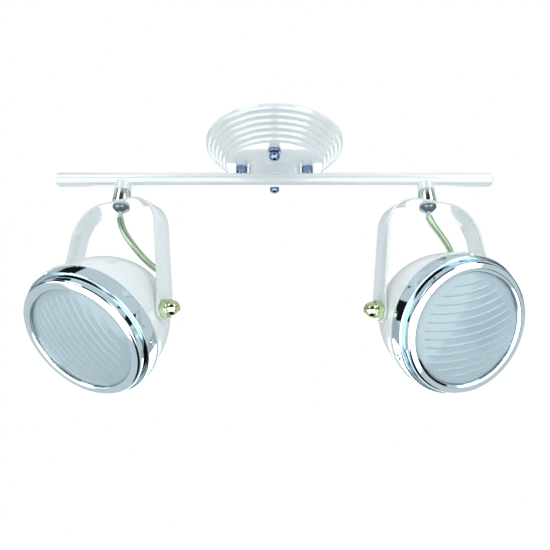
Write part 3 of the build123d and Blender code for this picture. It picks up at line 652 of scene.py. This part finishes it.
def acorn_nut():
    """Chamfered hexagon and a domed cap."""
    half_flats, hexagon, total, dome, steps, dome_steps = 8.0, 6.6, 14.8, 7.1, 144, 14
    turns = circle(steps)
    outs = [half_flats / cos(radians((degrees(angle) % 60) - 30)) for angle in turns]
    sides = [
        [(min(out, 8.3), 0.0) for out in outs],
        [(out, 0.55 * (out - half_flats)) for out in outs],
        [(out, hexagon - 0.2 - 0.75 * (out - half_flats)) for out in outs],
    ]
    rounds = [(7.9, hexagon - 0.1), (dome + 0.25, hexagon), (dome, hexagon + 0.2)]
    angles = [pi / 2 * i / dome_steps for i in range(dome_steps)]
    rounds += [(dome * cos(angle), total - dome + dome * sin(angle)) for angle in angles]
    sides += [[place] * steps for place in rounds]
    levels = [[(r * cos(a), r * sin(a), z) for (r, z), a in zip(side, turns)] for side in sides]
    points, faces, rings = skinned(levels)
    points.append((0, 0, total))
    last = rings[-1]
    faces += [[last[i], last[(i + 1) % steps], len(points) - 1] for i in range(steps)]
    return points, faces + [rings[0][::-1]]


def gland_place(head):
    """The gland's seat on the back of the bowl, off the axis and square to the shell there."""
    station = BOWL_WIDEST - BOWL_LENGTH * sqrt(1 - (GLAND_OFFSET / BOWL_RADIUS)**2)
    lean = degrees(atan2(GLAND_OFFSET / BOWL_RADIUS**2, (BOWL_WIDEST - station) / BOWL_LENGTH**2))
    return head_place(head) @ shift(GLAND_OFFSET, -station, 0) @ spin(-90, "X") @ spin(lean, "Y")


def gland_piece():
    """Tapered grommet with two shallow grip grooves and a hole for the lead."""
    nose = [(0.0, -0.3), (6.0, -0.3), (6.0, 1.3), (5.7, 1.5), (5.7, 1.8), (5.95, 2.0), (5.9, 2.8),
            (5.55, 3.0), (5.5, 3.3), (5.6, 3.5), (5.2, 4.9), (4.4, GLAND_NOSE), (3.4, GLAND_NOSE),
            (3.2, 5.6), (3.2, 2.0), (0, 2.0)]
    return lathe(eased(nose, 0.15, 3), 96)


def lead_route(head):
    """The model's own route points, in millimetres, in the whole lamp's frame."""
    seat = gland_place(head)
    points = [yoke_place(head) @ Vector(p) for p in head["route"]]
    ends = (GLAND_NOSE + head["gland_run"], GLAND_SOCKET)
    return points + [seat @ Vector((0, 0, height)) for height in ends]


def spline_points(name, points):
    """Points along a smooth NURBS line steered by the route."""
    curve = bpy.data.curves.new(name, "CURVE")
    curve.dimensions = "3D"
    line = curve.splines.new("NURBS")
    line.points.add(len(points) - 1)
    for control, place in zip(line.points, points):
        control.co = (*(place * MM), 1.0)
    line.order_u = 3
    line.use_endpoint_u = True
    line.resolution_u = 12
    holder = bpy.data.objects.new(name, curve)
    bpy.context.scene.collection.objects.link(holder)
    bpy.context.view_layer.update()
    mesh = bpy.data.meshes.new_from_object(holder)
    path = [v.co.copy() for v in mesh.vertices]
    bpy.data.objects.remove(holder)
    bpy.data.curves.remove(curve)
    bpy.data.meshes.remove(mesh)
    return path


def round_lead(path, radius):
    """A round tube along a path in metres, with no twist; UVs run round it and along it."""
    sides, levels, uvs = 32, [], []
    along = (path[1] - path[0]).normalized()
    side = along.orthogonal().normalized()
    walked = 0.0
    for i, place in enumerate(path):
        nearby = path[min(i + 1, len(path) - 1)] - path[max(i - 1, 0)]
        turned = nearby.normalized()
        side = (along.rotation_difference(turned) @ side).normalized()
        along = turned
        other = along.cross(side)
        if i:
            walked += (place - path[i - 1]).length
        levels.append([tuple((place + (side * cos(angle) + other * sin(angle)) * radius) / MM)
                       for angle in circle(sides)])
        uvs += [(k / sides, walked / (2 * pi * radius)) for k in range(sides)]
    points, faces, rings = skinned(levels)
    return points, faces + [rings[0][::-1], rings[-1]], uvs


for side, head in HEADS.items():
    stem, yoke, pivot, lamp = stem_place(head), yoke_place(head), head_place(head), lamp_place(head)
    yoke_body, head_body = f"{side}_yoke_body", f"{side}_head_body"
    finish_piece(f"{side}_boss_body", *boss_piece(), stem @ shift(0, 0, BOSS_LEVEL), WHITE,
                 "white_boss", "fixture", [f"{side}_bar_boss"])
    finish_piece(f"{side}_sleeve_body", *sleeve_piece(), stem @ shift(0, 0, SLEEVE_LEVEL), NICKEL,
                 "nickel_sleeve", "fixture", [f"{side}_stem_sleeve"], sharp=40)
    finish_piece(f"{side}_cap_body", *cap_nut_piece(), stem @ shift(0, 0, CAP_NUT_LEVEL), CAP_CHROME_PAINTED_SHADE,
                 "chrome_cap_nut", "fixture", [f"{side}_cap_nut"], sharp=50)

    finish_piece(f"{side}_strap", *strap(), yoke, STRAP_WHITE_PAINTED_SHADE, "white_strap", yoke_body,
                 [f"{side}_yoke"], sharp=40)
    finish_piece(f"{side}_slip_washers", *washer_piece(), yoke @ shift(0, 0, WASHER_LEVEL),
                 PALE_PLASTIC, "washer_plastic", yoke_body, [f"{side}_swivel_washers"])
    core = eased([(0, CORE_TOP), (CORE_RADIUS, CORE_TOP), (CORE_RADIUS, head["core_end"]),
                  (0, head["core_end"])], 0.2)
    finish_piece(f"{side}_core_sleeve", *lathe(core, 48), yoke, CORE, "core_plastic", yoke_body,
                 [f"{side}_lead_core"])

    finish_piece(f"{side}_shell", *bowl_piece(), lamp, WHITE, "white_bowl", head_body,
                 [f"{side}_bowl"], sharp=40)
    finish_piece(f"{side}_front_ring", *bezel_piece(), lamp, CHROME, "chrome_bezel", head_body,
                 [f"{side}_bezel"], sharp=50)
    lens = pivot @ spin(head["lens_turn"], "Y") @ spin(90, "X")
    finish_piece(f"{side}_glass", *lens_piece(), lens, LENS, "frosted_lens", head_body,
                 [f"{side}_lens"], sharp=50)
    finish_piece(f"{side}_retainer", *retainer_piece(), lamp, ZINC, "retainer_steel", head_body,
                 [f"{side}_retaining_ring"])
    finish_piece(f"{side}_ring_screws", *ring_screws(head), pivot, CHROME, "bezel_screw_steel",
                 head_body, [f"{side}_bezel_screws"], sharp=30)
    nuts = [moved(moved(acorn_nut(), shift(0, 0, ACORN_BASE)), spin(angle, "Y"))
            for angle in (90, -90)]
    finish_piece(f"{side}_cap_nuts", *joined(*nuts), pivot, BRASSY, "chrome_acorn", head_body,
                 [f"{side}_acorn_nuts"], sharp=28)
    finish_piece(f"{side}_grommet", *gland_piece(), gland_place(head), PALE_PLASTIC,
                 "gland_plastic", head_body, [f"{side}_cable_gland"])

    route = lead_route(head)
    path = spline_points(f"{side}_route", route)
    points, faces, uvs = round_lead(path, LEAD_RADIUS)
    lead = finish_piece(f"{side}_lead", points, faces, UNMOVED, SHEATH, "cable_sheath", None,
                        [f"{side}_cable"], uvs=uvs)
    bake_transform(lead)


# ---------------------------------------------------------------- finishes of the solids that stay
KEPT = {
    "mounting_plate": ZINC, "plate_studs": ZINC, "terminal_block": PALE_PLASTIC,
    "terminal_screws": BRASS, "earth_screw": BRASS, "bar_insert": ZINC, "bar_screws": ZINC,
    "wire_bushing": BLACK_PLASTIC, "swivel_nipple": ZINC, "lens_gasket": RUBBER,
    "pivot_collars": WHITE, "pivot_bolts": ZINC, "lamp_bracket": ZINC,
    "lampholder": BLACK_PLASTIC, "holder_screws": ZINC, "bulb": LAMP_GLASS,
}
for name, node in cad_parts.items():
    side, _, rest = name.partition("_")
    finish = KEPT.get(rest if side in HEADS else name)
    if finish:
        node.data.materials.clear()
        node.data.materials.append(finish)


# ---------------------------------------------------------------- studio
def panel(name, place, size, finish):
    """A level sheet that takes shadows and isn't part of the lamp."""
    mesh = bpy.data.meshes.new(name)
    w, h = size[0] / 2, size[1] / 2
    mesh.from_pydata([(-w, -h, 0), (w, -h, 0), (w, h, 0), (-w, h, 0)], [], [(0, 1, 2, 3)])
    mesh.materials.append(finish)
    made = bpy.data.objects.new(name, mesh)
    made.location = place
    bpy.context.scene.collection.objects.link(made)
    return made


def area(name, place, toward, size, power, colour):
    light = bpy.data.lights.new(name, "AREA")
    light.shape = "RECTANGLE"
    light.size, light.size_y = size
    light.energy = power
    light.color = colour
    made = bpy.data.objects.new(name, light)
    made.location = place
    made.rotation_euler = (Vector(place) - Vector(toward)).to_track_quat("Z", "Y").to_euler()
    bpy.context.scene.collection.objects.link(made)


pale, pale_tree, pale_shader = material("pale_floor", Roughness=0.8)
pale_tree.links.new(tint(pale_tree, noise(pale_tree, 2), (0.83, 0.85, 0.87), (0.87, 0.89, 0.9)),
                    pale_shader.inputs["Base Color"])
floor = panel("floor", (0, 0, -1.3), (3.0, 3.0), pale)
floor.visible_glossy = False

MIDDLE = (0, 0, -0.15)
COOL = (0.95, 1.0, 1.0)
area("key_left", (-0.9, -1.0, 0.7), MIDDLE, (0.7, 0.7), 4, COOL)
area("key_right", (0.9, -0.9, 0.5), MIDDLE, (0.6, 0.7), 4, COOL)
area("fill_back", (0.0, 1.0, -0.55), MIDDLE, (1.4, 0.6), 6, (0.97, 1.0, 1.0))

world = bpy.data.worlds.new("studio")
world.use_nodes = True
bpy.context.scene.world = world
nodes, links = world.node_tree.nodes, world.node_tree.links
nodes.clear()


def maths(operation, *values):
    """A Math node on numbers and outputs of other nodes."""
    made = nodes.new("ShaderNodeMath")
    made.operation = operation
    for slot, value in zip(made.inputs, values):
        if isinstance(value, (int, float)):
            slot.default_value = value
        else:
            links.new(value, slot)
    return made.outputs["Value"]


def ramp(value, low, high):
    """0 below low, 1 above high, and even between; the other way round if high is less."""
    made = nodes.new("ShaderNodeMapRange")
    made.inputs["From Min"].default_value = min(low, high)
    made.inputs["From Max"].default_value = max(low, high)
    made.inputs["To Min"].default_value = 0.0 if high > low else 1.0
    made.inputs["To Max"].default_value = 1.0 if high > low else 0.0
    links.new(value, made.inputs["Value"])
    return made.outputs["Result"]


def window(value, low, high, edge):
    """1 between low and high and 0 outside, with soft edges."""
    return maths("MULTIPLY", ramp(value, low - edge, low + edge),
                 ramp(value, high + edge, high - edge))


def background(colour):
    made = nodes.new("ShaderNodeBackground")
    made.inputs["Color"].default_value = (*colour, 1)
    return made


looking = nodes.new("ShaderNodeTexCoord")
split = nodes.new("ShaderNodeSeparateXYZ")
links.new(looking.outputs["Generated"], split.inputs["Vector"])
ahead = maths("MULTIPLY", split.outputs["Y"], -1.0)
azimuth = maths("DEGREES", maths("ARCTAN2", split.outputs["X"], ahead))
height_angle = maths("DEGREES", maths("ARCSINE", split.outputs["Z"]))

# What gloss and glass see of the studio: softboxes and black flags, by bearing and height in
# degrees, as left, right, bottom and top, and a softbox's brightness; the walls; and, beyond a
# bearing, the dimmer room behind the lamp.
SOFTBOXES = [(-78, -6, -57, 1, 3.0), (6, 60, -57, 1, 3.0)]
FLAGS = [(-76, 76, 5, 40), (83, 103, -13, 26), (-103, -83, 0, 28), (-135, -64, 43, 67),
         (66, 84, -33, -16), (-130, -114, 10, 30), (-180, 180, -90, -61)]
WALLS = 0.79
SOFTBOX_EDGE, FLAG_EDGE, FLAG_DEPTH = 1.5, 0.6, 0.985
BEHIND, BEHIND_BOTTOM, BEHIND_TOP, BEHIND_EDGE, BEHIND_DEPTH = 128, -35, 45, 4, 0.3

glow = None
for low, high, bottom, top, strength in SOFTBOXES:
    box = maths("MULTIPLY", window(azimuth, low, high, SOFTBOX_EDGE),
                window(height_angle, bottom, top, SOFTBOX_EDGE))
    box = maths("MULTIPLY", box, strength - WALLS)
    glow = box if glow is None else maths("ADD", glow, box)
glow = maths("ADD", glow, WALLS)
for low, high, bottom, top in FLAGS:
    flag = maths("MULTIPLY", window(azimuth, low, high, FLAG_EDGE),
                 window(height_angle, bottom, top, FLAG_EDGE))
    glow = maths("MULTIPLY", glow, maths("SUBTRACT", 1.0, maths("MULTIPLY", flag, FLAG_DEPTH)))

far = maths("GREATER_THAN", maths("ABSOLUTE", azimuth), BEHIND)
far = maths("MULTIPLY", far, window(height_angle, BEHIND_BOTTOM, BEHIND_TOP, BEHIND_EDGE))
glow = maths("MULTIPLY", glow, maths("SUBTRACT", 1.0, maths("MULTIPLY", far, BEHIND_DEPTH)))

# The camera sees plain white, gloss and glass see the studio, and all else a soft, even light.
seen = nodes.new("ShaderNodeLightPath")
bright = background((1, 1, 1))
studio = background((0.93, 1.0, 1.03))
links.new(glow, studio.inputs["Strength"])
soft = background((0.94, 0.99, 1.0))
soft.inputs["Strength"].default_value = 0.8
mirrored = nodes.new("ShaderNodeMixShader")
choice = nodes.new("ShaderNodeMixShader")
out = nodes.new("ShaderNodeOutputWorld")
links.new(maths("MAXIMUM", seen.outputs["Is Glossy Ray"], seen.outputs["Is Transmission Ray"]),
          mirrored.inputs["Fac"])
links.new(soft.outputs["Background"], mirrored.inputs[1])
links.new(studio.outputs["Background"], mirrored.inputs[2])
links.new(seen.outputs["Is Camera Ray"], choice.inputs["Fac"])
links.new(mirrored.outputs["Shader"], choice.inputs[1])
links.new(bright.outputs["Background"], choice.inputs[2])
links.new(choice.outputs["Shader"], out.inputs["Surface"])
